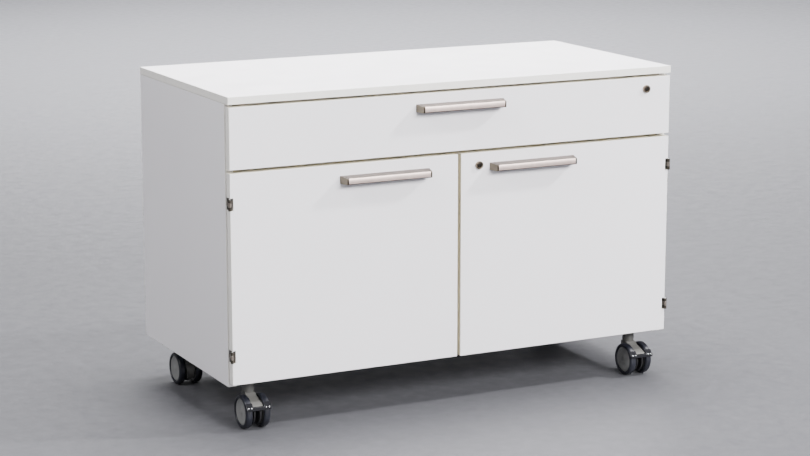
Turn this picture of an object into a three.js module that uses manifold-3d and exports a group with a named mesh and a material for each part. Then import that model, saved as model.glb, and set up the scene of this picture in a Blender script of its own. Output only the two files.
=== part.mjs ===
// Low, wide ward cabinet on castors: a full-width drawer over two doors, in laminated board.
// Millimetres, +Z up, front facing -Y. The origin is on the floor, at the middle of the whole
// footprint with the handles. Every mesh is one separate piece of the real cabinet.
import * as THREE from 'three';
import { mergeVertices } from 'three/addons/utils/BufferGeometryUtils.js';
import Module from 'manifold-3d';

const wasm = await Module();
wasm.setup();

// ---- Driving dimensions ----------------------------------------------------------------
const WIDTH = 1100;
const DEPTH = 530; // door face to rear edge
const HEIGHT = 735;
const HANDLE_REACH = 26.5; // how far a handle stands out from its front
const FIT = 0.3; // gap between pieces that touch
const RUN = 0.08; // radial clearance of a turning fit

const TOP_BOARD = 16;
const SIDE_BOARD = 19;
const FRONT_BOARD = 19; // doors and drawer front
const INNER_BOARD = 16; // bottom, drawer divider and shelves
const BACK_BOARD = 8;
const FRONT_GAP = 3; // between the back of a door and the carcass edge

const DOOR_BOTTOM = 110;
const DOOR_TOP = 572;
const DRAWER_FRONT_BOTTOM = 579;
const DRAWER_FRONT_TOP = 713;
const SIDE_BOTTOM = 102; // the sides hang a little below the doors
const FRONT_INSET = 2; // from a side's outer face to the edge of a door
const DOOR_SPLIT = 4; // half the gap between the two doors
const TOP_GROOVE = 0.8; // shadow groove between the sides and the top

// ---- Planes worked out from them -------------------------------------------------------
const HALF = WIDTH / 2;
const FRONT = HANDLE_REACH / 2 - DEPTH / 2;
const BACK = FRONT + DEPTH;
const FRONT_BACK = FRONT + FRONT_BOARD; // rear face of the doors and the drawer front
const EDGE = FRONT_BACK + FRONT_GAP; // front edge of the carcass boards
const TOP_UNDER = HEIGHT - TOP_BOARD;
const INNER_HALF = HALF - SIDE_BOARD - FIT;
const DIVIDER_TOP = (DOOR_TOP + DRAWER_FRONT_BOTTOM) / 2 + INNER_BOARD / 2;
const BACK_FACE = BACK - 3; // the back board sits 3 mm inside the rear edges
const INNER_BACK = BACK_FACE - BACK_BOARD - FIT; // rear end of the inner boards

// ---- Materials -------------------------------------------------------------------------
const surface = (color, roughness, metalness = 0) =>
  new THREE.MeshStandardMaterial({ color, roughness, metalness });
const laminate = surface(0xe4e3e6, 0.45);
const innerLaminate = surface(0xdedcda, 0.55);
const backLaminate = surface(0xd8d6d4, 0.6);
const handleSteel = surface(0xb9b0a9, 0.35, 0.9);
const nickel = surface(0x8d8678, 0.35, 0.9);
const zinc = surface(0xb4b7ba, 0.4, 0.85);
const greyPlastic = surface(0x97959a, 0.55);
const darkPlastic = surface(0x3c3c44, 0.45);
const tyreRubber = surface(0x3d3d47, 0.6);
const axleSteel = surface(0xc2c4c6, 0.3, 0.9);

// ---- Shape helpers ---------------------------------------------------------------------
const cabinet = new THREE.Group();

function add(name, geometry, material) {
  const mesh = new THREE.Mesh(geometry, material);
  mesh.name = name;
  cabinet.add(mesh);
  return mesh;
}

// A box from its low and high corners, given axis by axis in any order.
function block(x, y, z) {
  const size = [x, y, z].map(([a, b]) => Math.abs(b - a));
  const middle = [x, y, z].map(([a, b]) => (a + b) / 2);
  return new THREE.BoxGeometry(...size).translate(...middle);
}

function rodZ(radius, z, [x, y], sides = 24) {
  const rod = new THREE.CylinderGeometry(radius, radius, z[1] - z[0], sides);
  return rod.rotateX(Math.PI / 2).translate(x, y, (z[0] + z[1]) / 2);
}

function rodX(radius, x, [y, z], sides = 24) {
  const rod = new THREE.CylinderGeometry(radius, radius, x[1] - x[0], sides);
  return rod.rotateZ(Math.PI / 2).translate((x[0] + x[1]) / 2, y, z);
}

function rodY(radius, y, [x, z], sides = 24) {
  const rod = new THREE.CylinderGeometry(radius, radius, y[1] - y[0], sides);
  return rod.translate(x, (y[0] + y[1]) / 2, z);
}

// An outline of [y, z] points, extruded from x[0] to x[1].
function plateX(points, x) {
  const outline = new THREE.Shape(points.map(([y, z]) => new THREE.Vector2(y, z)));
  const plate = new THREE.ExtrudeGeometry(outline, { depth: x[1] - x[0], bevelEnabled: false });
  const cycle = new THREE.Matrix4().set(0, 0, 1, x[0], 1, 0, 0, 0, 0, 1, 0, 0, 0, 0, 0, 1);
  return plate.applyMatrix4(cycle);
}

// An outline of [x, z] points, extruded from y[0] to y[1].
function plateY(points, y) {
  const outline = new THREE.Shape(points.map(([x, z]) => new THREE.Vector2(x, z)));
  const plate = new THREE.ExtrudeGeometry(outline, { depth: y[1] - y[0], bevelEnabled: false });
  return plate.rotateX(Math.PI / 2).translate(0, y[1], 0);
}

function arc(centre, radius, fromDeg, toDeg, steps) {
  return Array.from({ length: steps + 1 }, (_, i) => {
    const angle = THREE.MathUtils.degToRad(fromDeg + ((toDeg - fromDeg) * i) / steps);
    return [centre[0] + radius * Math.cos(angle), centre[1] + radius * Math.sin(angle)];
  });
}

function toSolid(geometry) {
  const bare = geometry.clone();
  bare.deleteAttribute('normal');
  bare.deleteAttribute('uv');
  const merged = mergeVertices(bare, 1e-4);
  return new wasm.Manifold(
    new wasm.Mesh({
      numProp: 3,
      vertProperties: new Float32Array(merged.attributes.position.array),
      triVerts: new Uint32Array(merged.index.array),
    }),
  );
}

function toGeometry(solid) {
  const mesh = solid.getMesh();
  const geometry = new THREE.BufferGeometry();
  geometry.setAttribute('position', new THREE.BufferAttribute(mesh.vertProperties, 3));
  geometry.setIndex(new THREE.BufferAttribute(mesh.triVerts, 1));
  geometry.computeVertexNormals();
  return geometry;
}

const join = (...shapes) => shapes.map(toSolid).reduce((a, b) => a.add(b));
const cut = (solid, ...tools) => tools.map(toSolid).reduce((a, b) => a.subtract(b), solid);

// ---- Locks: a ring and barrel, a turning plug and a cam --------------------------------
const LOCK_RING = 9;
const LOCK_STAND = 5; // how far the ring stands out from the front
const PLUG_SUNK = 1.2; // plug face behind the ring's face
const LOCK_BARREL = 8.25;
const LOCK_LENGTH = 24; // from the board's face to the end of the barrel
const PLUG = 5.9;
const PLUG_TAIL = 3.5;
const CAM_THICK = 2.5;
const CAM_WIDTH = 12;
const CAM_FRONT = FRONT + LOCK_LENGTH + 0.4;
const KEYWAY = { width: 1.6, height: 7, depth: 8 };

const drawerLock = { name: 'drawer_lock', x: 484, z: 685.7, reach: 38, rest: Math.PI };
const doorLock = { name: 'door_lock', x: 48.5, z: 543.3, reach: 36, rest: -Math.PI / 2 };

const lockBore = ({ x, z }) => rodY(LOCK_BARREL + FIT, [FRONT - 1, FRONT_BACK + 1], [x, z]);

function lathed(profile, sides) {
  return new THREE.LatheGeometry(profile.map(([r, t]) => new THREE.Vector2(r, t)), sides);
}

function addLock({ name, x, z, reach, rest }) {
  const body = lathed(
    [
      [PLUG + RUN, -LOCK_STAND],
      [LOCK_RING - 0.6, -LOCK_STAND],
      [LOCK_RING, 0.6 - LOCK_STAND],
      [LOCK_RING, -FIT],
      [LOCK_BARREL, -FIT],
      [LOCK_BARREL, LOCK_LENGTH],
      [PLUG + RUN, LOCK_LENGTH],
      [PLUG + RUN, -LOCK_STAND],
    ],
    32,
  );
  add(`${name}_barrel`, body.translate(x, FRONT, z), nickel);

  const tailEnd = LOCK_LENGTH + CAM_THICK + 2;
  const face = PLUG_SUNK - LOCK_STAND;
  const plug = lathed(
    [
      [0, face],
      [PLUG - 0.5, face],
      [PLUG, face + 0.5],
      [PLUG, LOCK_LENGTH],
      [PLUG_TAIL, LOCK_LENGTH],
      [PLUG_TAIL, tailEnd],
      [0, tailEnd],
    ],
    32,
  ).translate(x, FRONT, z);
  const keyway = block(
    [x - KEYWAY.width / 2, x + KEYWAY.width / 2],
    [FRONT + face - 1, FRONT + face + KEYWAY.depth],
    [z - KEYWAY.height / 2, z + KEYWAY.height / 2],
  );
  add(`${name}_plug`, toGeometry(cut(toSolid(plug), keyway)), nickel);

  const hub = CAM_WIDTH / 2 + 2;
  const tip = CAM_WIDTH / 2;
  const outline = [
    ...arc([0, 0], hub, 60, 300, 10),
    ...arc([reach - tip, 0], tip, -90, 90, 6),
  ];
  const cam = cut(
    toSolid(plateY(outline, [CAM_FRONT, CAM_FRONT + CAM_THICK])),
    rodY(PLUG_TAIL + FIT, [CAM_FRONT - 1, CAM_FRONT + CAM_THICK + 1], [0, 0]),
  );
  const turned = toGeometry(cam).rotateY(-rest).translate(x, 0, z);
  add(`${name}_cam`, turned, zinc);
}

// ---- Carcass ---------------------------------------------------------------------------
function addCarcass() {
  // The drawer's cam turns up into a slot milled in the underside of the top.
  const slot = block(
    [drawerLock.x - 28, drawerLock.x + 8],
    [CAM_FRONT - 2, CAM_FRONT + CAM_THICK + 2],
    [TOP_UNDER - 1, TOP_UNDER + 8],
  );
  const top = block([-HALF, HALF], [FRONT, BACK], [TOP_UNDER, HEIGHT]);
  add('top_panel', toGeometry(cut(toSolid(top), slot)), laminate);

  const sideTop = TOP_UNDER - TOP_GROOVE;
  for (const [side, s] of [['left', -1], ['right', 1]]) {
    const x = [s * HALF, s * (HALF - SIDE_BOARD)];
    add(`side_panel_${side}`, block(x, [EDGE, BACK], [SIDE_BOTTOM, sideTop]), laminate);
  }

  const inner = [-INNER_HALF, INNER_HALF];
  const depth = [EDGE, INNER_BACK];
  const bottomTop = DOOR_BOTTOM + INNER_BOARD;
  const dividerUnder = DIVIDER_TOP - INNER_BOARD;
  const backY = [BACK_FACE - BACK_BOARD, BACK_FACE];
  add('back_panel', block(inner, backY, [DOOR_BOTTOM, sideTop]), backLaminate);
  add('bottom_panel', block(inner, depth, [DOOR_BOTTOM, bottomTop]), innerLaminate);
  add('drawer_divider', block(inner, depth, [dividerUnder, DIVIDER_TOP]), innerLaminate);

  const halfBoard = SIDE_BOARD / 2;
  const partitionZ = [bottomTop + FIT, dividerUnder - FIT];
  add('centre_partition', block([-halfBoard, halfBoard], depth, partitionZ), innerLaminate);

  const SHELF_Z = 340;
  const SHELF_SETBACK = 25;
  for (const [side, s] of [['left', -1], ['right', 1]]) {
    const x = [s * INNER_HALF, s * (halfBoard + FIT)];
    const y = [EDGE + SHELF_SETBACK, INNER_BACK];
    add(`shelf_${side}`, block(x, y, [SHELF_Z, SHELF_Z + INNER_BOARD]), innerLaminate);
  }

  // Angle plate that the door's cam turns behind.
  const STRIKE_THICK = 1.5;
  const strikeX = halfBoard + FIT;
  const strikeZ = [doorLock.z - 13, doorLock.z + 14];
  const leg = block([strikeX, strikeX + STRIKE_THICK], [EDGE, EDGE + 25], strikeZ);
  const flange = block([strikeX, strikeX + 14], [EDGE, EDGE + STRIKE_THICK], strikeZ);
  add('door_lock_strike', toGeometry(join(leg, flange)), zinc);
}

// ---- Pull handles: a ledge with end walls, open below ----------------------------------
const HANDLE = { frontHalf: 102.5, footHalf: 108.5, foot: 17, lip: 15.3, wall: 3.5, end: 6 };

function addHandle(name, x, underside) {
  const { frontHalf, footHalf, foot, lip, wall, end } = HANDLE;
  const back = FRONT - FIT;
  const front = FRONT - HANDLE_REACH;
  const lipTop = underside + lip;
  const corners = (shrink, backY, frontY) => [
    [-footHalf + shrink, backY],
    [-frontHalf + shrink, frontY],
    [frontHalf - shrink, frontY],
    [footHalf - shrink, backY],
  ];
  const prism = (points, z) => {
    const outline = new THREE.Shape(points.map(([px, py]) => new THREE.Vector2(px, py)));
    const options = { depth: z[1] - z[0], bevelEnabled: false };
    return new THREE.ExtrudeGeometry(outline, options).translate(0, 0, z[0]);
  };
  const outer = toSolid(prism(corners(0, back, front), [underside, underside + foot]));
  const sideProfile = [
    [back + 1, underside - 1],
    [back + 1, underside + foot],
    [back, underside + foot],
    [front, lipTop],
    [front - 1, lipTop],
    [front - 1, underside - 1],
  ];
  const sloped = outer.intersect(toSolid(plateX(sideProfile, [-footHalf - 1, footHalf + 1])));
  const hollow = prism(corners(end, back + 1, front + wall), [underside - 1, lipTop - wall]);
  add(name, toGeometry(cut(sloped, hollow)).translate(x, 0, 0), handleSteel);
}

// ---- Corner hinges with an outside knuckle ---------------------------------------------
const KNUCKLE = 3.5;
const HINGE_PIN = 1.5;
const PIVOT_IN = 0.5; // pivot inboard of the side's outer face
const PIVOT_Y = FRONT - 1;
const HINGE_HALF = 12.8;
const ARM_HALF = 4.7;
const HINGE_HEIGHTS = { lower: 172.5, upper: 505.5 };
const SHEET = 2; // thickness of the hinge's steel
const NOTCH_DEPTH = 9; // inboard end of the notch in the door's edge
const LEAF_END = 45;
const LEAF_SHEET = 2.2;
const WEB_IN = 2; // outer face of both webs, inboard of the side's outer face

const inboard = (s, d) => s * (HALF - d);

function hingeNotches(s) {
  const tools = [];
  for (const z of Object.values(HINGE_HEIGHTS)) {
    const height = [z - HINGE_HALF - 0.5, z + HINGE_HALF + 0.5];
    tools.push(block([inboard(s, -1), inboard(s, NOTCH_DEPTH)], [FRONT - 1, FRONT_BACK + 1], height));
    const seat = FRONT_BACK - LEAF_SHEET - 0.5;
    tools.push(block([inboard(s, 5), inboard(s, LEAF_END + 0.5)], [seat, FRONT_BACK + 1], height));
  }
  return tools;
}

function addHinge(side, s, level, z) {
  const pivot = [inboard(s, PIVOT_IN), PIVOT_Y];
  const web = [inboard(s, WEB_IN), inboard(s, WEB_IN + SHEET)];
  const gapSheet = [FRONT_BACK + 0.4, FRONT_BACK + 0.4 + SHEET];
  const plate = [inboard(s, SIDE_BOARD + FIT), inboard(s, SIDE_BOARD + FIT + SHEET)];
  const PLATE_LENGTH = 40;
  const PLATE_HALF = 20;
  const arm = join(
    rodZ(KNUCKLE, [z - ARM_HALF, z + ARM_HALF], pivot),
    rodZ(HINGE_PIN, [z - HINGE_HALF - 0.2, z + HINGE_HALF + 0.2], pivot),
    block(web, [PIVOT_Y, gapSheet[1]], [z - ARM_HALF, z + ARM_HALF]),
    block([web[0], plate[1]], gapSheet, [z - ARM_HALF, z + ARM_HALF]),
    block(plate, [gapSheet[0], gapSheet[0] + PLATE_LENGTH], [z - PLATE_HALF, z + PLATE_HALF]),
  );
  add(`hinge_arm_${side}_${level}`, toGeometry(arm), nickel);

  const leafY = [FRONT_BACK - LEAF_SHEET - 0.2, FRONT_BACK - 0.2];
  const leafX = [inboard(s, NOTCH_DEPTH + 0.2), inboard(s, LEAF_END)];
  const pieces = [block(leafX, leafY, [z - HINGE_HALF, z + HINGE_HALF])];
  for (const up of [-1, 1]) {
    const ends = [z + up * (ARM_HALF + FIT), z + up * HINGE_HALF].sort((a, b) => a - b);
    pieces.push(rodZ(KNUCKLE, ends, pivot));
    pieces.push(block(web, [PIVOT_Y, leafY[1]], ends));
    pieces.push(block([web[0], inboard(s, NOTCH_DEPTH + 0.4)], leafY, ends));
  }
  const leaf = cut(join(...pieces), rodZ(HINGE_PIN + RUN, [z - HINGE_HALF - 1, z + HINGE_HALF + 1], pivot));
  add(`hinge_leaf_${side}_${level}`, toGeometry(leaf), nickel);
}

// ---- Doors -----------------------------------------------------------------------------
const DOOR_HANDLE_X = 184;
const DOOR_HANDLE_Z = 530;

function addDoors() {
  for (const [side, s] of [['left', -1], ['right', 1]]) {
    const x = [s * (HALF - FRONT_INSET), s * DOOR_SPLIT];
    const panel = toSolid(block(x, [FRONT, FRONT_BACK], [DOOR_BOTTOM, DOOR_TOP]));
    const tools = hingeNotches(s);
    if (s > 0) tools.push(lockBore(doorLock));
    add(`door_${side}`, toGeometry(cut(panel, ...tools)), laminate);
    addHandle(`door_handle_${side}`, s * DOOR_HANDLE_X, DOOR_HANDLE_Z);
    for (const [level, z] of Object.entries(HINGE_HEIGHTS)) addHinge(side, s, level, z);
  }
  addLock(doorLock);
}

// ---- Drawer with its runners -----------------------------------------------------------
const BOX_HALF = 518; // outer half width of the drawer box
const BOX_BOARD = 12;
const BOX_BOTTOM_BOARD = 6;
const BOX_Z = [592, 690];
const BOX_LENGTH = 480;
const RUNNER_Z = 640;
const RUNNER_SHEET = 1.6;
const RAIL_DEPTH = 8.7;
const SLIDE_DEPTH = 10;
const DRAWER_HANDLE_Z = 673;

// A channel with its back at x[0] and its flanges reaching x[1].
function channel(x, y, z, halfHeight) {
  const turn = Math.sign(x[1] - x[0]);
  const outer = block(x, y, [z - halfHeight, z + halfHeight]);
  const groove = block(
    [x[0] + turn * RUNNER_SHEET, x[1] + turn],
    [y[0] - 1, y[1] + 1],
    [z - halfHeight + RUNNER_SHEET, z + halfHeight - RUNNER_SHEET],
  );
  return toGeometry(cut(toSolid(outer), groove));
}

function addDrawer() {
  const frontX = [FRONT_INSET - HALF, HALF - FRONT_INSET];
  const front = toSolid(block(frontX, [FRONT, FRONT_BACK], [DRAWER_FRONT_BOTTOM, DRAWER_FRONT_TOP]));
  add('drawer_front', toGeometry(cut(front, lockBore(drawerLock))), laminate);
  addHandle('drawer_handle', 0, DRAWER_HANDLE_Z);
  addLock(drawerLock);

  const boxFront = FRONT_BACK + FIT;
  const boxBack = boxFront + BOX_LENGTH;
  const insideHalf = BOX_HALF - BOX_BOARD - FIT;
  const inside = [-insideHalf, insideHalf];
  const BOTTOM_RISE = 6;
  const bottomZ = [BOX_Z[0] + BOTTOM_RISE, BOX_Z[0] + BOTTOM_RISE + BOX_BOTTOM_BOARD];
  add('drawer_back', block(inside, [boxBack - BOX_BOARD, boxBack], BOX_Z), innerLaminate);
  add('drawer_bottom', block(inside, [boxFront, boxBack - BOX_BOARD - FIT], bottomZ), innerLaminate);

  const OUTER_CHANNEL_HALF = 22.5;
  const INNER_CHANNEL_HALF = 17;
  for (const [side, s] of [['left', -1], ['right', 1]]) {
    const board = [s * BOX_HALF, s * (BOX_HALF - BOX_BOARD)];
    add(`drawer_side_${side}`, block(board, [boxFront, boxBack], BOX_Z), innerLaminate);
    const fixed = [s * INNER_HALF, s * (INNER_HALF - RAIL_DEPTH)];
    const fixedY = [EDGE + 2, EDGE + 2 + BOX_LENGTH];
    add(`runner_rail_${side}`, channel(fixed, fixedY, RUNNER_Z, OUTER_CHANNEL_HALF), zinc);
    const moving = [s * (BOX_HALF + FIT), s * (BOX_HALF + FIT + SLIDE_DEPTH)];
    add(`runner_slide_${side}`, channel(moving, [boxFront, boxBack], RUNNER_Z, INNER_CHANNEL_HALF), zinc);
  }
}

// ---- Twin-wheel castors ----------------------------------------------------------------
const CASTOR_INSET = 61.5; // swivel axis from a side's outer face
const CASTOR_FRONT_Y = FRONT + 61.5;
const CASTOR_REAR_Y = FRONT + 460;
const WHEEL_RADIUS = 37.5;
const TRAIL = 23; // wheel axis ahead of the swivel axis, towards -Y
const CASTOR_HALF = 29; // half the width over both wheels
const WHEEL_INNER = 13; // inner face of a wheel from the castor's middle
const DISH = 2.2; // how far a wheel's disc sits inside its tyre's outer face
const BODY_HALF = 12.4;
const CHEEK = [4.8, 9];
const AXLE = 4;
const AXLE_HALF = 24.5;
const STEM = 5.8;
const NECK_TOP = 103.7;
const STEM_BOTTOM = 80;

const hub = [-TRAIL, WHEEL_RADIUS]; // wheel axis in the castor's own y, z

// The castor's own frame: x across, y ahead of the swivel axis, z from the floor.
function addWheel(name, s, place) {
  const profile = [
    [0, CASTOR_HALF - DISH],
    [28.6, CASTOR_HALF - DISH],
    [30, CASTOR_HALF - 0.6],
    [32, CASTOR_HALF],
    [35.5, CASTOR_HALF - 1.2],
    [WHEEL_RADIUS, CASTOR_HALF - 4.5],
    [WHEEL_RADIUS, WHEEL_INNER + 4],
    [35.5, WHEEL_INNER],
    [AXLE + RUN, WHEEL_INNER],
    [AXLE + RUN, AXLE_HALF + 0.5],
    [0, AXLE_HALF + 0.5],
  ];
  // The lathe turns about its own y; the wheel's axis is the castor's x, with s as the outside.
  const points = s > 0 ? profile.reverse() : profile.map(([r, t]) => [r, -t]);
  const wheel = lathed(points, 28).rotateZ(-Math.PI / 2).translate(0, ...hub);
  add(name, wheel.translate(...place), tyreRubber);
}

function castorBody(braked) {
  const neck = lathed(
    [
      [0, 58],
      [BODY_HALF, 58],
      [BODY_HALF, 75],
      [13.6, 77],
      [13.6, 84],
      [12.8, NECK_TOP - 0.8],
      [12, NECK_TOP],
      [0, NECK_TOP],
    ],
    32,
  ).rotateX(Math.PI / 2);
  const saddle = [
    [13.4, 60],
    [13.4, 72],
    [-12, 72],
    [-17, 66.8],
    [-38, 62.6],
    [-51, 58.6],
    [-55, 56],
    [-53, 53.6],
    [-40, 54.5],
    [-24, 55],
    [-6, 50],
    [6, 46],
  ];
  const CHEEK_RADIUS = 31;
  const cheek = [...arc(hub, CHEEK_RADIUS, 150, 375, 18), [-2, 58], [-40, 58]];
  let body;
  if (braked) {
    const cheeks = [-1, 1].map((s) => plateX(cheek, s > 0 ? CHEEK : [-CHEEK[1], -CHEEK[0]]));
    body = join(neck, plateX(saddle, [-BODY_HALF, BODY_HALF]), ...cheeks);
  } else {
    // Without a pedal the front closes into a nose that narrows towards the floor.
    const nose = toSolid(plateX(cheek, [-BODY_HALF, BODY_HALF]));
    const taper = [
      [-BODY_HALF, 60],
      [-BODY_HALF, 46],
      [-3.5, 6],
      [3.5, 6],
      [BODY_HALF, 46],
      [BODY_HALF, 60],
    ];
    const narrowed = nose.intersect(toSolid(plateY(taper, [-70, 20])));
    body = join(neck, plateX(saddle, [-BODY_HALF, BODY_HALF])).add(narrowed);
  }
  const stemBore = rodZ(STEM + RUN, [STEM_BOTTOM - 0.5, NECK_TOP + 1], [0, 0]);
  const axleBore = rodX(AXLE + RUN, [-CASTOR_HALF, CASTOR_HALF], hub);
  return cut(body, stemBore, axleBore);
}

function brakePedal() {
  const INNER = 38.3;
  const OUTER = 42.3;
  const LIP = [155, 166]; // degrees round the wheel axis, from +y over the top
  const WING = [140, 157];
  const ARM_WIDTH = 4.2;
  const RING = 8.5;
  const section = (outer, [a, b], steps) => [
    ...arc(hub, INNER, a, b, steps),
    ...arc(hub, outer, b, a, steps),
  ];
  const wing = section(OUTER - 1.4, WING, 4);
  const arm = [
    ...arc(hub, RING - 2, 205, 115, 3),
    ...arc(hub, INNER + 1.3, 156.5, 164.5, 2),
  ];
  const shape = join(
    plateX(section(OUTER, LIP, 3), [-CASTOR_HALF, CASTOR_HALF]),
    plateX(wing, [-CASTOR_HALF, -WHEEL_INNER]),
    plateX(wing, [WHEEL_INNER, CASTOR_HALF]),
    plateX(arm, [-ARM_WIDTH, ARM_WIDTH]),
  );
  const ring = toSolid(rodX(RING, [-ARM_WIDTH, ARM_WIDTH], hub));
  return cut(shape.add(ring), rodX(AXLE + RUN, [-ARM_WIDTH - 1, ARM_WIDTH + 1], hub));
}

function addCastor(corner, x, y, braked) {
  const place = [x, y, 0];
  const PLATE_HALF = 28;
  const plateTop = DOOR_BOTTOM - FIT;
  const RACE_BOTTOM = NECK_TOP + FIT;
  const mount = join(
    block([-PLATE_HALF, PLATE_HALF], [-PLATE_HALF, PLATE_HALF], [plateTop - 2.7, plateTop]),
    rodZ(15, [RACE_BOTTOM, plateTop - 1], [0, 0]),
    rodZ(STEM, [STEM_BOTTOM, plateTop - 1], [0, 0]),
  );
  add(`castor_plate_${corner}`, toGeometry(mount).translate(...place), zinc);
  add(`castor_body_${corner}`, toGeometry(castorBody(braked)).translate(...place), greyPlastic);
  add(`castor_axle_${corner}`, rodX(AXLE, [-AXLE_HALF, AXLE_HALF], hub).translate(...place), axleSteel);
  addWheel(`castor_wheel_${corner}_left`, -1, place);
  addWheel(`castor_wheel_${corner}_right`, 1, place);
  if (braked) add(`brake_pedal_${corner}`, toGeometry(brakePedal()).translate(...place), darkPlastic);
}

// ---- Assembly --------------------------------------------------------------------------
addCarcass();
addDrawer();
addDoors();
for (const [side, s] of [['left', -1], ['right', 1]]) {
  const x = s * (HALF - CASTOR_INSET);
  addCastor(`front_${side}`, x, CASTOR_FRONT_Y, true);
  addCastor(`rear_${side}`, x, CASTOR_REAR_Y, false);
}

export default cabinet;
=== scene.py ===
# Looks for the mobile ward cabinet: laminate boards, ledge handles, locks, hinges, runners and
# castors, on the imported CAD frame. Metres, +Z up, front facing -Y.
import math
import bpy
import bmesh
from mathutils import Matrix, Vector


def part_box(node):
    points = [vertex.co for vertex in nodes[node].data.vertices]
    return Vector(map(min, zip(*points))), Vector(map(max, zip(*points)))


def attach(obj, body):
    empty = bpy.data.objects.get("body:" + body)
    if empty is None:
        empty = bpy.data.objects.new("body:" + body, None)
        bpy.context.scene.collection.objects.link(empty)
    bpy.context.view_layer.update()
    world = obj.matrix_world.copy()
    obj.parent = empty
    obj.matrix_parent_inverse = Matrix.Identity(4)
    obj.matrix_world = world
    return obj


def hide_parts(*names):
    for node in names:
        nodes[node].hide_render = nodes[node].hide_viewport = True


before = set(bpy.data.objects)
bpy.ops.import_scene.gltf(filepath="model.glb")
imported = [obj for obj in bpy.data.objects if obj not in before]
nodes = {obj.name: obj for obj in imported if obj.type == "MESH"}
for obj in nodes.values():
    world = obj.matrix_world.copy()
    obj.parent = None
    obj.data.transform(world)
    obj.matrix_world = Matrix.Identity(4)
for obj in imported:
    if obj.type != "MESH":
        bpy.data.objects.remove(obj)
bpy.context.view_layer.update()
MM = 0.001
MM_PER_M = 1000
FACING = 0.7    # a face looks along an axis when its normal's part along it is over this
SIDES = (("left", -1), ("right", 1))


# ---- materials -------------------------------------------------------------------------
def srgb(r, g, b):
    def lin(c):
        c /= 255
        return c / 12.92 if c <= 0.04045 else ((c + 0.055) / 1.055) ** 2.4
    return (lin(r), lin(g), lin(b), 1.0)


class Mat:
    """A Principled material with short helpers for its node tree."""

    def __init__(self, name, metallic=0.0, **constants):
        self.m = bpy.data.materials.new(name)
        self.m.use_nodes = True
        self.t = self.m.node_tree
        self.p = self.t.nodes["Principled BSDF"]
        self.p.inputs["Metallic"].default_value = metallic
        for key, value in constants.items():
            self.p.inputs[key.replace("_", " ")].default_value = value
        self.coord = self.t.nodes.new("ShaderNodeTexCoord").outputs["Object"]

    def link(self, a, b):
        self.t.links.new(a, b)

    def noise(self, scale, detail, stretch=None, rough=0.5):
        n = self.t.nodes.new("ShaderNodeTexNoise")
        n.inputs["Scale"].default_value = scale
        n.inputs["Detail"].default_value = detail
        n.inputs["Roughness"].default_value = rough
        source = self.coord
        if stretch:
            mp = self.t.nodes.new("ShaderNodeMapping")
            mp.inputs["Scale"].default_value = stretch
            self.link(self.coord, mp.inputs["Vector"])
            source = mp.outputs["Vector"]
        self.link(source, n.inputs["Vector"])
        return n.outputs["Fac"]

    def ramp(self, fac, low, high, a=0.3, b=0.7):
        r = self.t.nodes.new("ShaderNodeValToRGB")
        e = r.color_ramp.elements
        e[0].position, e[0].color = a, low
        e[1].position, e[1].color = b, high
        self.link(fac, r.inputs["Fac"])
        return r.outputs["Color"]

    def span(self, fac, low, high, a=0.3, b=0.7):
        r = self.t.nodes.new("ShaderNodeMapRange")
        r.inputs["From Min"].default_value = a
        r.inputs["From Max"].default_value = b
        r.inputs["To Min"].default_value = low
        r.inputs["To Max"].default_value = high
        self.link(fac, r.inputs["Value"])
        return r.outputs["Result"]

    def mix(self, fac, a, b):
        x = self.t.nodes.new("ShaderNodeMix")
        x.data_type = "RGBA"
        self.link(fac, x.inputs["Factor"])
        for value, socket in ((a, x.inputs["A"]), (b, x.inputs["B"])):
            if hasattr(value, "links"):
                self.link(value, socket)
            else:
                socket.default_value = value
        return x.outputs["Result"]

    def colour(self, out):
        self.link(out, self.p.inputs["Base Color"])

    def rough(self, out):
        self.link(out, self.p.inputs["Roughness"])

    def bump(self, height, strength, distance):
        b = self.t.nodes.new("ShaderNodeBump")
        b.inputs["Strength"].default_value = strength
        b.inputs["Distance"].default_value = distance
        self.link(height, b.inputs["Height"])
        if self.p.inputs["Normal"].is_linked:
            self.link(self.p.inputs["Normal"].links[0].from_socket, b.inputs["Normal"])
        self.link(b.outputs["Normal"], self.p.inputs["Normal"])


def shade(c, k):
    return (c[0] * k, c[1] * k, c[2] * k, 1.0)


def laminate(name, base, rough=(0.34, 0.44), grain=0.25):
    m = Mat(name, Specular_IOR_Level=0.45)
    cloud = m.noise(3.5, 4)
    speck = m.noise(900, 2)
    clouded = m.ramp(cloud, shade(base, 0.975), base)
    m.colour(m.mix(m.span(speck, 0.0, 0.35), clouded, shade(base, 1.02)))
    m.rough(m.span(m.noise(14, 5), *rough))
    m.bump(m.noise(1400, 2), grain, 0.00006)
    m.bump(m.noise(160, 3), grain * 0.5, 0.0001)
    return m.m


def edging(name, base):
    m = Mat(name, Specular_IOR_Level=0.5)
    m.colour(m.ramp(m.noise(40, 3), shade(base, 0.97), base))
    m.rough(m.span(m.noise(220, 3), 0.28, 0.38))
    m.bump(m.noise(700, 2), 0.15, 0.00005)
    return m.m


def brushed(name, base, across, rough):
    """Steel with fine lines; across has a 0 for the axis that the lines run along."""
    m = Mat(name, metallic=1.0)
    stretch = tuple(0.02 if a == 0 else 1.0 for a in across)
    lines = m.noise(2600, 4, stretch)
    cloud = m.noise(60, 4)
    worn = m.ramp(cloud, shade(base, 0.8), base)
    m.colour(m.mix(m.span(lines, 0.0, 0.4), worn, shade(base, 1.12)))
    m.rough(m.span(lines, *rough))
    m.bump(lines, 0.18, 0.00004)
    return m.m


def cast(name, base, rough, dark=0.6):
    m = Mat(name, metallic=0.9)
    m.colour(m.ramp(m.noise(420, 4), shade(base, dark), base, 0.35, 0.65))
    m.rough(m.span(m.noise(900, 3), *rough))
    m.bump(m.noise(1500, 2), 0.3, 0.00005)
    return m.m


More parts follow.
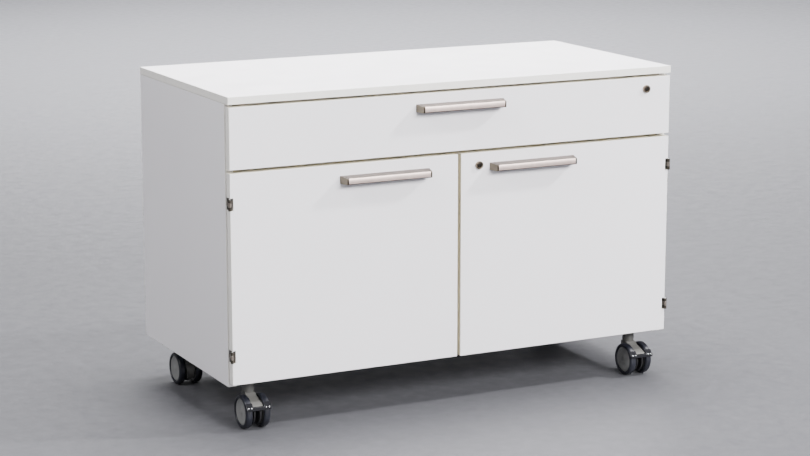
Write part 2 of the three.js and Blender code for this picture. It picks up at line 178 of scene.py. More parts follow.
def moulded(name, base, rough=(0.38, 0.52), grain=0.35, vary=0.88, spec=0.5):
    m = Mat(name, Specular_IOR_Level=spec)
    m.colour(m.ramp(m.noise(45, 4), shade(base, vary), base))
    m.rough(m.span(m.noise(160, 4), *rough))
    m.bump(m.noise(2200, 2), grain, 0.00005)
    return m.m


def rubber(name, base, dust):
    m = Mat(name, Specular_IOR_Level=0.4)
    scuff = m.noise(70, 6, rough=0.65)
    worn = m.span(scuff, 0.0, 0.5, 0.45, 0.75)
    m.colour(m.mix(worn, m.ramp(m.noise(300, 3), shade(base, 0.85), base), dust))
    m.rough(m.span(scuff, 0.27, 0.46))
    m.bump(m.noise(1100, 3), 0.3, 0.00008)
    return m.m


M = {
    "laminate": laminate("laminate_white", srgb(240, 237, 241)),
    "edge": edging("edge_band_white", srgb(241, 238, 233)),
    "inner": laminate("laminate_inner", srgb(226, 224, 222), (0.42, 0.55), 0.3),
    "inner_edge": edging("edge_band_inner", srgb(208, 194, 164)),
    # Warmer, darker bands for edges seen only in the gaps: painted shade and painted warm bounce.
    "meeting_edge_painted_shade": edging("edge_band_meeting_painted_shade", srgb(222, 216, 196)),
    "rail_painted_gap_shade": edging("edge_band_rail_painted_shade", srgb(168, 157, 141)),
    "divider_edge_painted_shade": edging("edge_band_divider_painted_shade", srgb(194, 182, 162)),
    "back": laminate("laminate_back", srgb(214, 212, 209), (0.5, 0.65), 0.4),
    "handle": brushed("handle_steel", srgb(227, 207, 199), (0, 1, 1), (0.46, 0.58)),
    # Darker copies of the handle steel for its hem, top and ends: painted shade and painted dark
    # reflections.
    "handle_hem_painted_shade": brushed("handle_steel_hem_painted_shade", srgb(62, 54, 48), (0, 1, 1), (0.4, 0.52)),
    "handle_top_painted_shade": brushed("handle_steel_top_painted_shade", srgb(122, 112, 104), (0, 1, 1), (0.4, 0.52)),
    "handle_end_painted_shade": brushed("handle_steel_end_painted_shade", srgb(116, 109, 96), (1, 0, 1), (0.35, 0.5)),
    "lock": cast("lock_nickel", srgb(158, 142, 124), (0.24, 0.36), dark=0.8),
    # Darker copies of the lock nickel for the ring's front face and the core: painted dark
    # reflection.
    "lock_face_painted_reflection": cast("lock_face_nickel_painted_reflection", srgb(104, 95, 83), (0.32, 0.46)),
    "lock_plug_painted_reflection": cast("lock_plug_nickel_painted_reflection", srgb(58, 52, 47), (0.3, 0.42)),
    # Near-black for screw crosses, the keyways and shelf-pin holes: painted shade of recesses.
    "dark": moulded("dark_recess", srgb(24, 24, 26), (0.6, 0.8)),
    "hinge": cast("hinge_nickel", srgb(92, 86, 78), (0.3, 0.45)),
    "hinge_arm": cast("hinge_arm_nickel", srgb(158, 148, 138), (0.28, 0.42), dark=0.75),
    "zinc": cast("zinc_plate", srgb(186, 188, 190), (0.28, 0.44), dark=0.82),
    "ball": brushed("bearing_steel", srgb(205, 206, 208), (1, 1, 1), (0.12, 0.2)),
    "axle": brushed("axle_steel", srgb(200, 202, 205), (1, 0, 0), (0.2, 0.32)),
    "castor_grey": moulded("castor_grey", srgb(100, 99, 96)),
    "rib_grey": moulded("castor_rib_grey", srgb(34, 34, 36), spec=0.3),
    "pedal": moulded("pedal_grey", srgb(26, 26, 30), (0.5, 0.6), 0.25, 0.8, 0.05),
    "pedal_rim": moulded("pedal_rim_grey", srgb(34, 34, 39), (0.12, 0.18), 0.05, 0.9),
    "hub": moulded("wheel_disc_grey", srgb(130, 130, 129), (0.45, 0.58)),
    "tyre": rubber("tyre_rubber", srgb(27, 28, 36), srgb(50, 52, 63)),
    "screw": brushed("screw_steel", srgb(196, 197, 199), (1, 1, 1), (0.24, 0.36)),
    "buffer": moulded("buffer_clear", srgb(214, 214, 210), (0.2, 0.3)),
}


# ---- shape helpers, all in millimetres -------------------------------------------------
class Shape:
    """A mesh in the making, with the shapes to cut from it."""

    def __init__(self):
        self.b = bmesh.new()
        self.cutters = []

    def face(self, points):
        vs = [self.b.verts.new(Vector(p)) for p in points]
        return self.b.faces.new(vs)

    def loft(self, rings):
        """Joins closed rings of points, each with the same count, and caps both ends."""
        rows = [[self.b.verts.new(Vector(p)) for p in ring] for ring in rings]
        n = len(rows[0])
        for a, b in zip(rows, rows[1:]):
            for i in range(n):
                self.b.faces.new([a[i], a[(i + 1) % n], b[(i + 1) % n], b[i]])
        self.b.faces.new(rows[0][::-1])
        self.b.faces.new(rows[-1])
        return self

    def box(self, x, y, z):
        x, y, z = sorted(x), sorted(y), sorted(z)
        return self.loft([[(x[0], y[0], h), (x[1], y[0], h), (x[1], y[1], h), (x[0], y[1], h)]
                          for h in z])

    def prism(self, outline, axis, span):
        """An outline of 2D points pushed along an axis; the points keep the order X, Y, Z."""
        def put(p, h):
            q = list(p)
            q.insert("xyz".index(axis), h)
            return q
        return self.loft([[put(p, h) for p in outline] for h in span])

    def lathe(self, profile, axis, centre, steps=48):
        """(radius, place along the axis) turned about an axis through centre. It may start and
        end on the axis, or close on itself."""
        k = "xyz".index(axis)
        rows = []
        for r, t in profile:
            row = []
            for i in range(1 if r < 1e-6 else steps):
                a = 2 * math.pi * i / steps
                p = [r * math.cos(a), r * math.sin(a)]
                p.insert(k, t)
                row.append(self.b.verts.new(Vector(centre) + Vector(p)))
            rows.append(row)
        for a, b in zip(rows, rows[1:]):
            for i in range(steps):
                j = (i + 1) % steps
                quad = [a[i % len(a)], a[j % len(a)], b[j % len(b)], b[i % len(b)]]
                quad = list(dict.fromkeys(quad))
                if len(quad) > 2:
                    self.b.faces.new(quad)
        return self

    def cut(self, other):
        self.cutters.append(other)

    def mesh(self, name):
        bmesh.ops.remove_doubles(self.b, verts=self.b.verts, dist=1e-5)
        bmesh.ops.recalc_face_normals(self.b, faces=self.b.faces)
        bmesh.ops.scale(self.b, vec=(MM, MM, MM), verts=self.b.verts)
        me = bpy.data.meshes.new(name)
        self.b.to_mesh(me)
        self.b.free()
        return me


def arc(cx, cy, r, a0, a1, steps):
    """Points on a circle from angle a0 to a1, in degrees."""
    out = []
    for i in range(steps + 1):
        a = math.radians(a0 + (a1 - a0) * i / steps)
        out.append((cx + r * math.cos(a), cy + r * math.sin(a)))
    return out


def ball(r):
    """A sphere's profile for a lathe."""
    return [(abs(a), t) for a, t in arc(0, 0, r, -90, 90, 8)]


def piece(name, shape, body, material, stands_for=(), bevel=0.0, angle=35, segments=2):
    """Makes a shape into a visible piece that rides on a body and stands for CAD nodes."""
    me = shape.mesh(name)
    ob = bpy.data.objects.new(name, me)
    bpy.context.scene.collection.objects.link(ob)
    me.materials.append(M[material])
    for cutter in shape.cutters:
        tool = bpy.data.objects.new(name + "_cut", cutter.mesh(name + "_cut"))
        bpy.context.scene.collection.objects.link(tool)
        mod = ob.modifiers.new("cut", "BOOLEAN")
        mod.operation, mod.object, mod.solver = "DIFFERENCE", tool, "EXACT"
        dg = bpy.context.evaluated_depsgraph_get()
        me = bpy.data.meshes.new_from_object(ob.evaluated_get(dg))
        ob.modifiers.clear()
        ob.data = me
        bpy.data.objects.remove(tool)
    me.shade_smooth()
    me.set_sharp_from_angle(angle=math.radians(angle))
    if bevel:
        mod = ob.modifiers.new("edge", "BEVEL")
        mod.width, mod.segments, mod.limit_method = bevel * MM, segments, "ANGLE"
        mod.angle_limit, mod.harden_normals = math.radians(angle), True
    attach(ob, body)
    for node in stands_for:
        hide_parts(node)
    return ob


def carry(node, face, edge, bevel=0.9):
    """Keeps a CAD board, with its edges eased and edge-banded: the band is on the faces that don't
    look along its thin direction."""
    ob = nodes[node]
    ob.data.materials.clear()
    ob.data.materials.append(M[face])
    ob.data.materials.append(M[edge])
    lo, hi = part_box(node)
    thin = min(range(3), key=lambda k: hi[k] - lo[k])
    for polygon in ob.data.polygons:
        polygon.material_index = 0 if abs(polygon.normal[thin]) > FACING else 1
    weld = ob.modifiers.new("weld", "WELD")
    weld.merge_threshold = 0.02 * MM
    mod = ob.modifiers.new("edge", "BEVEL")
    mod.width, mod.segments, mod.limit_method = bevel * MM, 3, "ANGLE"
    mod.angle_limit, mod.material = math.radians(40), 1
    mod.harden_normals = True


def at(node):
    """A node's box in millimetres: its low corner and its high corner."""
    lo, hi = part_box(node)
    return [v * MM_PER_M for v in lo], [v * MM_PER_M for v in hi]


def middle(node):
    lo, hi = at(node)
    return [(a + b) / 2 for a, b in zip(lo, hi)]


# ---- places read from the frame --------------------------------------------------------
DOOR_LO, DOOR_HI = at("door_right")
FRONT, FRONT_BACK = DOOR_LO[1], DOOR_HI[1]
SIDE_LO, SIDE_HI = at("side_panel_right")
HALF, EDGE, BACK = SIDE_HI[0], SIDE_LO[1], SIDE_HI[1]
SIDE_IN = SIDE_LO[0]
PART_HALF = at("centre_partition")[1][0]
UNDER_TOP = at("top_panel")[0][2]

# ---- boards ----------------------------------------------------------------------------
for board in ("door_left", "door_right", "drawer_front"):
    carry(board, "laminate", "edge")
for board in ("top_panel", "side_panel_left", "side_panel_right"):
    carry(board, "laminate", "edge", 0.3)
for board in ("bottom_panel", "centre_partition", "shelf_left", "shelf_right",
              "drawer_side_left", "drawer_side_right", "drawer_back", "drawer_bottom"):
    carry(board, "inner", "inner_edge", 0.6)
# The divider's darker edge band, seen in the gap under the drawer, is painted shade.
carry("drawer_divider", "inner", "divider_edge_painted_shade", 0.6)
carry("back_panel", "back", "back", 0.4)
for part in ("runner_rail_left", "runner_rail_right", "runner_slide_left", "runner_slide_right",
             "door_lock_strike"):
    carry(part, "zinc", "zinc", 0.35)
# Doors and drawer front have a warmer, darker band on the edges that meet across a gap: painted
# shade and painted warm bounce from inside the gap.
for front, meets in (("door_left", lambda n: n.x > FACING or n.z > FACING),
                     ("door_right", lambda n: n.x < -FACING or n.z > FACING),
                     ("drawer_front", lambda n: abs(n.z) > FACING)):
    nodes[front].data.materials.append(M["meeting_edge_painted_shade"])
    for polygon in nodes[front].data.polygons:
        if meets(polygon.normal):
            polygon.material_index = 2
# The strip under the top that the drawer's cam turns up behind; it closes the gap over the drawer.
# Its tan-brown colour is painted shade, with painted warm bounce, for the gap over the drawer.
strip = Shape().box((-SIDE_IN, SIDE_IN), (FRONT_BACK + 0.9, FRONT_BACK + 4.2),
                    (UNDER_TOP - 22, UNDER_TOP - 0.1))
piece("lock_strip", strip, "carcass", "rail_painted_gap_shade", bevel=0.4)


# ---- screws ----------------------------------------------------------------------------
def turned(axis, sign, centre):
    """The matrix that moves a shape made along +Z from the origin onto an axis."""
    spin = {"x": Matrix.Rotation(math.pi / 2 * sign, 4, "Y"),
            "y": Matrix.Rotation(-math.pi / 2 * sign, 4, "X"),
            "z": Matrix.Rotation(0 if sign > 0 else math.pi, 4, "X")}[axis]
    return Matrix.Translation(Vector(centre)) @ spin


def screws(name, body, axis, sign, places, r, rise):
    """Domed heads of radius r, rise high, and crosses in them painted near-black: painted shade of
    the recesses.
    """
    dome = [(0, rise), (r * 0.45, rise * 0.94), (r * 0.78, rise * 0.66), (r, rise * 0.18),
            (r, -0.4), (0, -0.4)]
    heads, slots = Shape(), Shape()
    for centre in places:
        head = Shape().lathe(dome, "z", (0, 0, 0), 20)
        cross = Shape()
        for a, b in ((0.52, 0.13), (0.13, 0.52)):
            cross.box((-r * a, r * a), (-r * b, r * b), (rise * 0.5, rise + 0.04))
        m = turned(axis, sign, centre)
        for src, dst in ((head, heads), (cross, slots)):
            bmesh.ops.transform(src.b, matrix=m, verts=src.b.verts)
            tmp = bpy.data.meshes.new("tmp")
            src.b.to_mesh(tmp)
            src.b.free()
            dst.b.from_mesh(tmp)
            bpy.data.meshes.remove(tmp)
    piece(name, heads, body, "screw", angle=50)
    piece(name + "_recess", slots, body, "dark")


# ---- handles ---------------------------------------------------------------------------
def handle(node, body):
    """A pressed steel ledge with a slightly bulged lip, between two end caps."""
    lo, hi = at(node)
    cx, underside = (lo[0] + hi[0]) / 2, lo[2]
    foot = (hi[0] - lo[0]) / 2
    taper, cap, seam, wall, end_wall = 6.0, 3.4, 0.8, 3.4, 1.6
    lip_height, post_x, post_z = 14.2, 92, 7.5
    tip = foot - taper
    back, front = hi[1], lo[1]
    back_top, front_top = hi[2], underside + lip_height
    # How far the lip leans back, and the share of the height, from its rolled hem up.
    lip = ((1.8, 0.0), (0.6, 0.045), (0.0, 0.14), (0.0, 0.6), (0.15, 0.88), (0.9, 1.0))

    def rings(x_back, x_front, grow=0.0, y_back=back, low=underside, drop=0.0):
        """Plan outlines, one for each place on the lip, between two ends at the back and front."""
        out = []
        for lean, share in lip:
            y = front + lean + grow
            z_front = low + share * (front_top - drop - low)
            z_back = low + share * (back_top - drop - low)
            out.append([(cx + x_back[0], y_back, z_back), (cx + x_front[0], y, z_front),
                        (cx + x_front[1], y, z_front), (cx + x_back[1], y_back, z_back)])
        return out

    inner_end = tip - cap
    bar = Shape().loft(rings((-inner_end, inner_end), (-inner_end, inner_end)))
    inside = inner_end - end_wall
    hollow = rings((-inside, inside), (-inside, inside), wall, back + 1, underside - 1, wall)
    bar.cut(Shape().loft(hollow))
    sides = [piece(node + "_metal", bar, body, "handle", [node], bevel=0.4)]
    for tag, s in SIDES:
        near, far, end = s * (inner_end + seam), s * foot, s * tip
        end_cap = Shape().loft(rings(sorted((near, far)), sorted((near, end))))
        sides.append(piece(f"{node}_cap_{tag}", end_cap, body, "handle",
                           bevel=0.4))
    for ob in sides:
        for name in ("handle_top_painted_shade", "handle_end_painted_shade", "handle_hem_painted_shade"):
            ob.data.materials.append(M[name])
        # The top, ends and underside get darker copies of the steel: painted shade and painted dark
        # reflections. The bar's front keeps the plain steel, and the caps' fronts are painted as
        # dark as the hem.
        front_look = 0 if ob is sides[0] else 3
        for polygon in ob.data.polygons:
            n = polygon.normal
            polygon.material_index = (2 if abs(n.x) > FACING else 1 if n.z > 0.8 or n.y > 0.5 else
                                      3 if n.z < -0.3 else front_look)
    posts = Shape()
    for s in (-1, 1):
        posts.lathe([(0, FRONT - 12), (4.2, FRONT - 12), (4.2, FRONT - 0.35), (0, FRONT - 0.35)],
                    "y", (cx + s * post_x, 0, underside + post_z), 24)
    piece(node + "_posts", posts, body, "zinc")
    screws(node + "_screws", body, "y", 1,
           [(cx + s * post_x, FRONT_BACK, underside + post_z) for s in (-1, 1)], 4.2, 2.0)


handle("drawer_handle", "drawer")
handle("door_handle_left", "left_door")
handle("door_handle_right", "right_door")


# ---- locks -----------------------------------------------------------------------------
def lock(name, fixed, turning):
    """A ring in the front, and a core with a keyway, a cam and a nut that turn in it."""
    x, _, z = middle(name + "_barrel")
    lo, hi = at(name + "_barrel")
    r, face, end = (hi[0] - lo[0]) / 2, lo[1], hi[1]
    bore, sleeve = 5.98, 8.25
    ring = [(bore, face + 1.4), (6.3, face + 0.5), (7.1, face), (r - 0.7, face),
            (r - 0.15, face + 0.3), (r, face + 0.9), (r, FRONT - 0.3), (sleeve, FRONT - 0.3),
            (sleeve, end), (bore, end), (bore, face + 1.4)]
    ob = piece(name + "_ring", Shape().lathe(ring, "y", (x, 0, z), 64), fixed, "lock",
               [name + "_barrel"])
    ob.data.materials.append(M["lock_face_painted_reflection"])
    # Front-facing faces of the ring get the darker copy: painted dark reflection.
    for polygon in ob.data.polygons:
        polygon.material_index = 1 if polygon.normal.y < -FACING else 0

    plug_face, tail = at(name + "_plug")[0][1], at(name + "_plug")[1][1]
    plug, spindle = 5.9, 3.5
    core = Shape().lathe([(0, plug_face), (5.2, plug_face), (5.7, plug_face + 0.25),
                          (plug, plug_face + 0.7), (plug, end), (spindle, end), (spindle, tail),
                          (0, tail)], "y", (x, 0, z), 48)
    key_x, key_z = 0.75, 3.4
    core.cut(Shape().box((x - key_x, x + key_x), (plug_face - 1, plug_face + 7.6),
                         (z - key_z, z + key_z)))
    # The core gets the darkest copy: painted dark reflection.
    piece(name + "_core", core, turning, "lock_plug_painted_reflection", [name + "_plug"], bevel=0.15,
          angle=60)
    # A near-black block deep in the keyway: painted shade.
    deep = Shape().box((x - 0.74, x + 0.74), (plug_face + 1.2, plug_face + 7.4),
                       (z - 3.38, z + 3.38))
    piece(name + "_keyway_painted_shade", deep, turning, "dark")
    carry(name + "_cam", "zinc", "zinc", 0.3)
    cam_back = at(name + "_cam")[1][1]
    nut = Shape().prism(arc(x, z, 5.4, 0, 300, 5), "y", (cam_back + 0.05, tail + 0.6))
    piece(name + "_nut", nut, turning, "zinc", bevel=0.3)


lock("drawer_lock", "drawer", "drawer_lock")
lock("door_lock", "right_door", "door_lock")


# ---- hinges ----------------------------------------------------------------------------
def hinge(side, s, level):
    """An arm on the side panel and a leaf on the door, joined by knuckles on an outside pin."""
    def out(d):
        """A place d inwards from the cabinet's outer side."""
        return s * (HALF - d)

    node_arm, node_leaf = f"hinge_arm_{side}_{level}", f"hinge_leaf_{side}_{level}"
    door = side + "_door"
    z = middle(node_arm)[2]
    px, py = s * (HALF - 0.5), FRONT - 1
    # The knuckle's radius, half the hinge's height, half the middle knuckle's height.
    r, half, own = 3.5, 12.8, 4.7
    bore, near, far = 1.58, out(2), out(4)
    arm_face, arm_back = out(21.3), out(19.3)
    arm_gap = (FRONT_BACK + 0.4, FRONT_BACK + 2.4)
    leaf_gap = (FRONT_BACK - 2.4, FRONT_BACK - 0.2)

    def knuckle(shape, z0, z1):
        shape.lathe([(bore, z0), (r - 0.35, z0), (r, z0 + 0.35), (r, z1 - 0.35), (r - 0.35, z1),
                     (bore, z1), (bore, z0)], "z", (px, py, 0), 32)

    arm = Shape()
    knuckle(arm, z - own, z + own)
    arm.box((near, far), (py + 3, arm_gap[1]), (z - own, z + own))
    arm.box((near, arm_face), arm_gap, (z - own, z + own))
    start = arm_gap[0]
    plate = [(start + a, z + b) for a, b in ((0, -16), (0, 16), (4, 20), (36, 20), (40, 16),
                                             (40, -16), (36, -20), (4, -20))]
    arm.prism(plate, "x", (arm_back, arm_face))
    name = f"hinge_{side}_{level}"
    piece(name + "_arm", arm, "carcass", "hinge_arm", [node_arm], bevel=0.3)
    screws(name + "_arm_screws", "carcass", "x", -s,
           [(arm_face, start + a, z + b) for a, b in ((12, 12), (12, -12), (30, 12), (30, -12))],
           3.2, 0.9)
    head = [(0, half + 0.9), (1.2, half + 0.75), (2.1, half + 0.05), (1.5, half + 0.05)]
    profile = [(a, z + b) for a, b in head] + [(a, z - b) for a, b in head[::-1]]
    pin = Shape().lathe(profile, "z", (px, py, 0), 24)
    piece(name + "_pin", pin, "carcass", "zinc")

    leaf = Shape()
    for k in (-1, 1):
        ends = sorted((z + k * (own + 0.3), z + k * half))
        knuckle(leaf, *ends)
        leaf.box((near, far), (py + 3, leaf_gap[1]), ends)
        leaf.box((near, out(10)), leaf_gap, ends)
    leaf.box((out(9.2), out(45)), leaf_gap, (z - half, z + half))
    piece(name + "_leaf", leaf, door, "hinge", [node_leaf], bevel=0.3)
    screws(name + "_leaf_screws", door, "y", 1,
           [(out(d), FRONT_BACK - 0.25, z + b) for d in (20, 37) for b in (-6.5, 6.5)], 3.0, 0.5)


for side, s in SIDES:
    for level in ("lower", "upper"):
        hinge(side, s, level)


# ---- castors ---------------------------------------------------------------------------
TREAD = HUB_Z = 37.5
SHELL_HALF = 12.3    # half the width of a castor's body, and the radius of its neck


def wheel(corner, which, s, place):
    """place is the castor's middle on its wheel axis; s is the side that faces out."""
    body = f"wheel_{corner}_{which}"
    node = f"castor_wheel_{corner}_{which}"
    inner, outer = 13.0, 28.9
    tyre = [(29.2, inner + 1.6), (32.5, inner + 0.6)]
    tyre += [(r, t) for t, r in arc(inner + 4.6, TREAD - 4.6, 4.6, 180, 90, 7)]
    tyre += [(r, t) for t, r in arc(outer - 5.2, TREAD - 5.2, 5.2, 90, 0, 8)]
    tyre += [(30.6, outer - 0.1), (29.8, outer - 0.8), (29.2, outer - 1.8), (29.2, inner + 1.6)]
    disc = [(0, 26.75), (3.4, 26.75), (4.4, 26.5), (5.2, 26.1), (21.8, 26.1), (22.8, 26.3),
            (23.8, 26.7), (27.4, 26.7), (28.4, 26.4), (29.15, 25.6), (29.15, inner + 1.7),
            (12, inner + 1.7), (11, inner + 0.1), (4.1, inner + 0.1), (4.1, 25.0), (0, 25.0)]

    def turn(profile):
        return Shape().lathe([(r, s * t) for r, t in profile], "x", place, 72)

    piece(f"tyre_{corner}_{which}", turn(tyre), body, "tyre", [node])
    piece(f"disc_{corner}_{which}", turn(disc), body, "hub", angle=28)


def castor(corner, braked):
    """A swivelling body with its wheels and axle, and the fixed plate and stem above it."""
    x, ay, _ = middle(f"castor_axle_{corner}")
    yc = middle(f"castor_plate_{corner}")[1]
    body = f"castor_{corner}"
    hub = (x, ay, HUB_Z)
    for which, s in SIDES:
        wheel(corner, which, s, hub)
    neck = [(0, 52), (SHELL_HALF, 52), (12.35, 72), (12.9, 76), (13.5, 79.5), (13.6, 84),
            (13.0, 99), (12.6, 102.6), (12.0, 103.5), (0, 103.5)]
    shell = Shape().lathe(neck, "z", (x, yc, 0), 48)
    arch = [(yc + a, z) for a, z in ((12.6, 50), (12.6, 74), (11, 75.6), (-11, 75.2), (-16, 71.5),
                                     (-22, 68.5), (-36, 64), (-47, 60), (-54.2, 56.2), (-55, 54.4),
                                     (-53.5, 53), (-40, 53.5), (-24, 54), (-6, 50))]
    shell.prism(arch, "x", (x - SHELL_HALF, x + SHELL_HALF))
    piece(f"castor_shell_{corner}", shell, body, "castor_grey",
          [f"castor_body_{corner}"], bevel=1.4, segments=3, angle=30)
    # Between the wheels: two cheeks at the front, a nose round a narrower core at the rear.
    cheek_r = 31 if braked else 29.6
    cheek = arc(ay, HUB_Z, cheek_r, 150, 375, 30) + [(yc - 2, 56), (yc - 42, 56)]
    if braked:
        for tag, a, b in (("left", -9, -4.8), ("right", 4.8, 9)):
            side = Shape().prism(cheek, "x", (x + a, x + b))
            piece(f"castor_cheek_{corner}_{tag}", side, body, "rib_grey", bevel=0.8)
    else:
        # From the saddle down round the front; the width closes in towards the floor.
        rings, steps = [], 14
        outer_r, inner_r = 31.0, 12.0
        for k in range(steps + 1):
            a = math.radians(150 + 8.5 * k)
            ry, rz = math.cos(a), math.sin(a)
            w = SHELL_HALF - 8.4 * (k / steps) ** 1.1
            rings.append([(x - w, ay + outer_r * ry, HUB_Z + outer_r * rz),
                          (x + w, ay + outer_r * ry, HUB_Z + outer_r * rz),
                          (x + w, ay + inner_r * ry, HUB_Z + inner_r * rz),
                          (x - w, ay + inner_r * ry, HUB_Z + inner_r * rz)])
        nose = Shape().loft(rings)
        piece(f"castor_nose_{corner}", nose, body, "castor_grey", bevel=1.2,
              segments=3)
        core = Shape().prism(cheek, "x", (x - 8, x + 8))
        piece(f"castor_core_{corner}", core, body, "rib_grey", bevel=0.8)
    shaft = Shape().lathe([(0, -24.5), (3.6, -24.5), (4, -24.1), (4, 24.1), (3.6, 24.5), (0, 24.5)],
                          "x", hub, 32)
    piece(f"castor_shaft_{corner}", shaft, body, "axle", [f"castor_axle_{corner}"])

    top = at(f"castor_plate_{corner}")[1][2]
    half, cut, thick, screw_at = 28.0, 5.0, 2.7, 21
    outline = []
    for qx, qy, a0 in ((1, 1, 0), (-1, 1, 90), (-1, -1, 180), (1, -1, 270)):
        outline += arc(x + qx * (half - cut), yc + qy * (half - cut), cut, a0, a0 + 90, 5)
    plate = Shape().prism(outline, "z", (top - thick, top))
    plate.lathe([(0, 104.0), (13.6, 104.0), (14.8, 104.5), (15, 105.2), (15, top - 1),
                 (0, top - 1)], "z", (x, yc, 0), 40)
    plate.lathe([(0, 80), (5.4, 80), (5.8, 80.6), (5.8, 104.2), (0, 104.2)], "z", (x, yc, 0), 32)
    piece(f"castor_mount_{corner}", plate, "carcass", "zinc", [f"castor_plate_{corner}"],
          bevel=0.4)
    screws(f"castor_mount_{corner}_screws", "carcass", "z", -1,
           [(x + i * screw_at, yc + j * screw_at, top - thick) for i in (-1, 1) for j in (-1, 1)],
           4.4, 2.2)
    if braked:
        pedal(corner, x, ay)


def pedal(corner, x, ay):
    """A bar across both wheels, a wing that follows each tyre, an arm to the axle, and studs."""
    def band(r0, r1, a0, a1, n):
        return arc(ay, HUB_Z, r0, a0, a1, n) + arc(ay, HUB_Z, r1, a1, a0, n)

    body, under = f"pedal_{corner}", 38.3
    bar = Shape().prism(band(under, 42.2, 155.5, 166, 8), "x", (x - 28.9, x + 28.9))
    for s in (-1, 1):
        bar.prism(band(under, 40.6, 140, 157, 10), "x", (x + s * 13.4, x + s * 28.6))
    arm = arc(ay, HUB_Z, 6.5, 205, 115, 3) + arc(ay, HUB_Z, 39.4, 156.5, 164.5, 2)
    half, bore = 4.2, 4.08
    bar.prism(arm, "x", (x - half, x + half))
    bar.lathe([(bore, -half), (8.5, -half), (8.5, half), (bore, half), (bore, -half)], "x",
              (x, ay, HUB_Z), 32)
    ob = piece(f"pedal_bar_{corner}", bar, body, "pedal", [f"brake_pedal_{corner}"],
               bevel=1.4, segments=4)
    ob.data.materials.append(M["pedal_rim"])
    ob.modifiers["edge"].material = 1
    grips = Shape()
    r, angle = 41.4, math.radians(157.5)
    for across in (-24.5, -17, 17, 24.5):
        grips.lathe(ball(2.5), "x",
                    (x + across, ay + r * math.cos(angle), HUB_Z + r * math.sin(angle)), 20)
    piece(f"pedal_grips_{corner}", grips, body, "ball", angle=80)


for corner in ("front_left", "front_right", "rear_left", "rear_right"):
    castor(corner, corner.startswith("front"))

# ---- small fittings inside -------------------------------------------------------------
shelf = at("shelf_left")[0][2]
first_hole, hole_step, hole_count, hole_r, clear_of_shelf = 209, 32, 10, 2.5, 24
# The shelf-pin holes are flat near-black discs on the faces: painted shade, not cuts.
hole = [(0, -0.06), (hole_r, -0.06), (hole_r, 0.06), (0, 0.06)]
pin = [(0, -3), (hole_r, -3), (hole_r, 0), (4.2, 0.1), (4.2, 1.2), (hole_r, 1.3), (hole_r, 8.5),
       (1.9, 9), (0, 9)]
holes, pins = Shape(), Shape()
for s in (-1, 1):
    for face, sign in ((SIDE_IN, -1), (PART_HALF, 1)):
        for y in (EDGE + 40, BACK - 48):
            for k in range(hole_count):
                z = first_hole + hole_step * k
                if abs(z - shelf) > clear_of_shelf:
                    holes.lathe(hole, "x", (s * face, y, z), 16)
            pins.lathe([(r, s * sign * t) for r, t in pin], "x", (s * face, y, shelf - 2.6), 20)
piece("shelf_pin_holes_painted_shade", holes, "carcass", "dark")
piece("shelf_pins", pins, "carcass", "zinc")

buffer = [(0, 1.6), (2.2, 1.5), (3.6, 0.9), (4, 0.2), (4, -0.1), (0, -0.1)]
buffer_x, buffer_z = 14, 9    # from the cabinet's middle, and from the door's top or foot
for side, s in SIDES:
    pads = Shape()
    for z in (DOOR_LO[2] + buffer_z, DOOR_HI[2] - buffer_z):
        pads.lathe([(r, FRONT_BACK + t) for r, t in buffer], "y", (s * buffer_x, 0, z), 24)
    piece(f"door_buffers_{side}", pads, side + "_door", "buffer")

ball_count, ball_step, track_z = 12, 8.5, 18.95
for side, s in SIDES:
    rail_z = middle(f"runner_rail_{side}")[2]
    start = at(f"runner_rail_{side}")[0][1]
    balls, cage = Shape(), Shape()
    track_x = middle(f"runner_slide_{side}")[0] + s * 1.2
    for k in (-1, 1):
        z = rail_z + k * track_z
        for i in range(ball_count):
            balls.lathe(ball(1.75), "x", (track_x, start + 6 + i * ball_step, z), 14)
        cage.box((track_x + s * 1.6, track_x + s * 2.2), (start + 1, start + 105),
                 (z - 1.6, z + 1.6))
    piece(f"runner_balls_{side}", balls, "carcass", "ball")
    piece(f"runner_cage_{side}", cage, "carcass", "zinc", bevel=0.2)

back = at("back_panel")[1][1]
places = [(x, back, z) for x in (-520, 0, 520) for z in (150, 330, 510, 690)]
places += [(x, back, z) for x in (-260, 260) for z in (118, 575)]
screws("back_panel_screws", "carcass", "y", 1, places, 3.2, 0.9)
lo, hi = at("drawer_bottom")
screws("drawer_bottom_screws", "drawer", "z", -1,
       [(x, hi[1] - 8, lo[2]) for x in (-400, -200, 0, 200, 400)], 3.0, 0.8)

# ---- floor, light and camera -----------------------------------------------------------
FAR = 9000    # from the middle of the floor to its edge
floor_shape = Shape()
floor_shape.face([(-FAR, -FAR, 0), (FAR, -FAR, 0), (FAR, FAR, 0), (-FAR, FAR, 0)])
floor = bpy.data.objects.new("floor", floor_shape.mesh("floor"))
bpy.context.scene.collection.objects.link(floor)
ground = Mat("floor_pale", Specular_IOR_Level=0.35)
ground.colour(ground.ramp(ground.noise(40, 4), srgb(83, 83, 87), srgb(88, 88, 92)))
ground.rough(ground.span(ground.noise(25, 4), 0.4, 0.55))
ground.bump(ground.noise(500, 3), 0.2, 0.0002)
floor.data.materials.append(ground.m)

world = bpy.data.worlds.new("studio")
bpy.context.scene.world = world
world.use_nodes = True
background = world.node_tree.nodes["Background"].inputs
background["Color"].default_value = (0.95, 0.96, 1.0, 1)
background["Strength"].default_value = 0.25


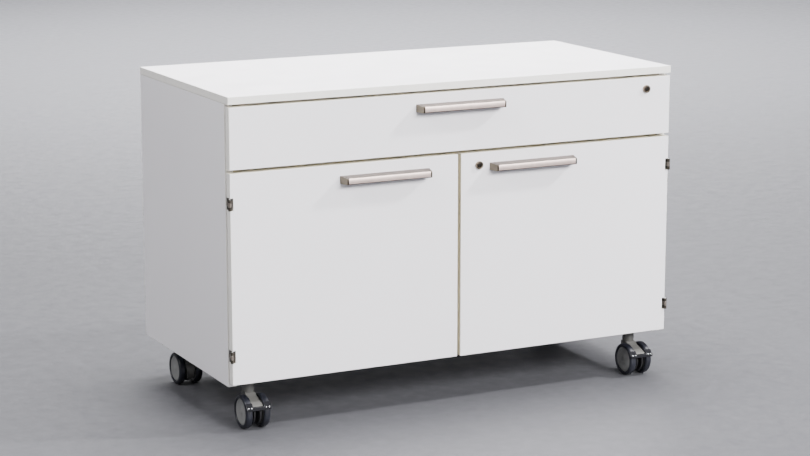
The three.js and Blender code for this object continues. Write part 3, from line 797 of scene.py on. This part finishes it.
def area(name, place, target, size, power, spread=180):
    """A soft light that the camera doesn't see. Metres, watts and degrees."""
    data = bpy.data.lights.new(name, "AREA")
    data.shape, data.size, data.size_y = "RECTANGLE", size[0], size[1]
    data.energy, data.spread = power, math.radians(spread)
    ob = bpy.data.objects.new(name, data)
    ob.location = place
    ob.rotation_mode = "QUATERNION"
    ob.rotation_quaternion = (Vector(target) - Vector(place)).to_track_quat("-Z", "Y")
    ob.visible_camera = False
    bpy.context.scene.collection.objects.link(ob)


area("softbox", (1.1, -4.9, 2.85), (0, 0, 0.5), (3.4, 1.5), 610)
area("overhead", (0.1, 0.35, 2.9), (0, 0.1, 0.7), (2.0, 1.2), 240)
area("key", (3.6, -1.77, 3.7), (0, -0.25, 0.6), (0.45, 0.45), 360)
area("left_fill", (-2.6, -1.0, 2.8), (-0.55, 0, 0.5), (1.4, 1.4), 90)
area("background", (2.6, 5.6, 4.6), (2.6, 5.6, 0), (6.0, 6.0), 1700, 100)
# These light the far floor for views from the sides and the back, and don't shine on the object.
area("floor_front", (0, -10, 4.6), (0, -10, 0), (16.0, 6.0), 3600, 90)
area("floor_left", (-9, 1, 4.6), (-9, 1, 0), (6.0, 14.0), 3200, 90)
area("floor_right", (10.5, 0, 4.6), (10.5, 0, 0), (6.0, 14.0), 3200, 90)

# The camera was solved from the cabinet's corners in the photo: its focal length in pixels of the
# photo's width, its place, and the way it looks.
FOCAL, WIDTH, SENSOR = 2237.6, 810, 36
camera = bpy.data.cameras.new("camera")
camera.sensor_width = SENSOR
camera.lens = FOCAL / WIDTH * SENSOR
camera.clip_start, camera.clip_end = 0.05, 60
eye = bpy.data.objects.new("camera", camera)
bpy.context.scene.collection.objects.link(eye)
eye.location = (-2.2963, -4.5549, 1.4270)
yaw, pitch = math.radians(26.664), math.radians(11.84)
look = Vector((math.sin(yaw) * math.cos(pitch), math.cos(yaw) * math.cos(pitch), -math.sin(pitch)))
eye.rotation_mode = "QUATERNION"
eye.rotation_quaternion = look.to_track_quat("-Z", "Y")
bpy.context.scene.camera = eye
